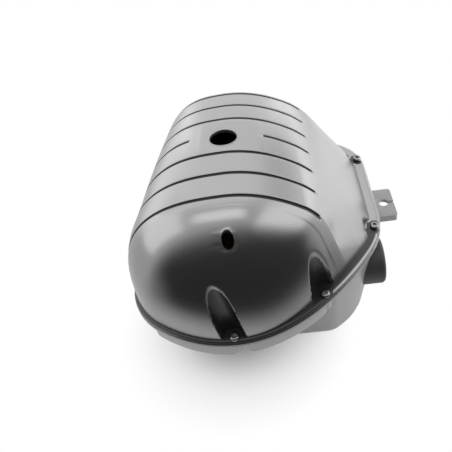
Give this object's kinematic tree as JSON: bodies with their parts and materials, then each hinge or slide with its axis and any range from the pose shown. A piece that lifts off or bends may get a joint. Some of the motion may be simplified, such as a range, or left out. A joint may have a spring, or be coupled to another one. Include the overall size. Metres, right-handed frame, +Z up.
{
  "type": "air filter housing",
  "caption": "Black moulded air filter housing: a domed cover with cross grooves screwed to a lower case that holds a panel filter, with a slotted side tab and a rubber outlet.",
  "frame": {"origin": "middle of the flat underside of the lower case's floor", "axes": "+Z up out of the cover, +Y to the back, away from the front hole, +X to the side with the slotted tab"},
  "size_m": [0.268, 0.282, 0.1813],
  "materials": {
    "cover_plastic": "moulded satin black, glossier on the front dome",
    "case_plastic": "moulded dark grey, satin",
    "seal_rubber": "matt",
    "boot_rubber": "matt moulded rubber",
    "rim_urethane": "matt moulded urethane",
    "filter_paper": "pleated paper",
    "screen_steel": "plated",
    "frame_plastic": "matt moulded",
    "screw_steel": "zinc plated",
    "insert_brass": "turned"
  },
  "bodies": {
    "case": {"lower_case": "case_plastic", "case_seal": "seal_rubber", "outlet_boot": "boot_rubber", "screw_insert_1": "insert_brass", "screw_insert_2": "insert_brass", "screw_insert_3": "insert_brass", "screw_insert_4": "insert_brass", "screw_insert_5": "insert_brass", "screw_insert_6": "insert_brass", "screw_insert_7": "insert_brass"},
    "cover": {"upper_cover": "cover_plastic", "cover_screw_1": "screw_steel", "cover_screw_2": "screw_steel", "cover_screw_3": "screw_steel", "cover_screw_4": "screw_steel", "cover_screw_5": "screw_steel", "cover_screw_6": "screw_steel", "cover_screw_7": "screw_steel"},
    "filter": {"filter_rim": "rim_urethane", "filter_pleats": "filter_paper", "filter_screen_top": "screen_steel", "filter_screen_bottom": "screen_steel", "filter_frame": "frame_plastic", "frame_screw_1": "screw_steel", "frame_screw_2": "screw_steel", "frame_screw_3": "screw_steel", "frame_screw_4": "screw_steel"},
    "drain": {"drain_plug": "boot_rubber"}
  },
  "joints": [
    {"name": "cover_lift", "type": "slide", "parent": "case", "child": "cover", "axis": [0, 0, 1], "range_m": [0, 0.2]},
    {"name": "filter_lift", "type": "slide", "parent": "case", "child": "filter", "axis": [0, 0, 1], "range_m": [0, 0.1]},
    {"name": "drain_pull", "type": "slide", "parent": "case", "child": "drain", "axis": [0, 1, 0], "range_m": [0, 0.03]}
  ],
  "couplings": [
    {"joint": "filter_lift", "follows": "cover_lift", "ratio": 0.5}
  ]
}
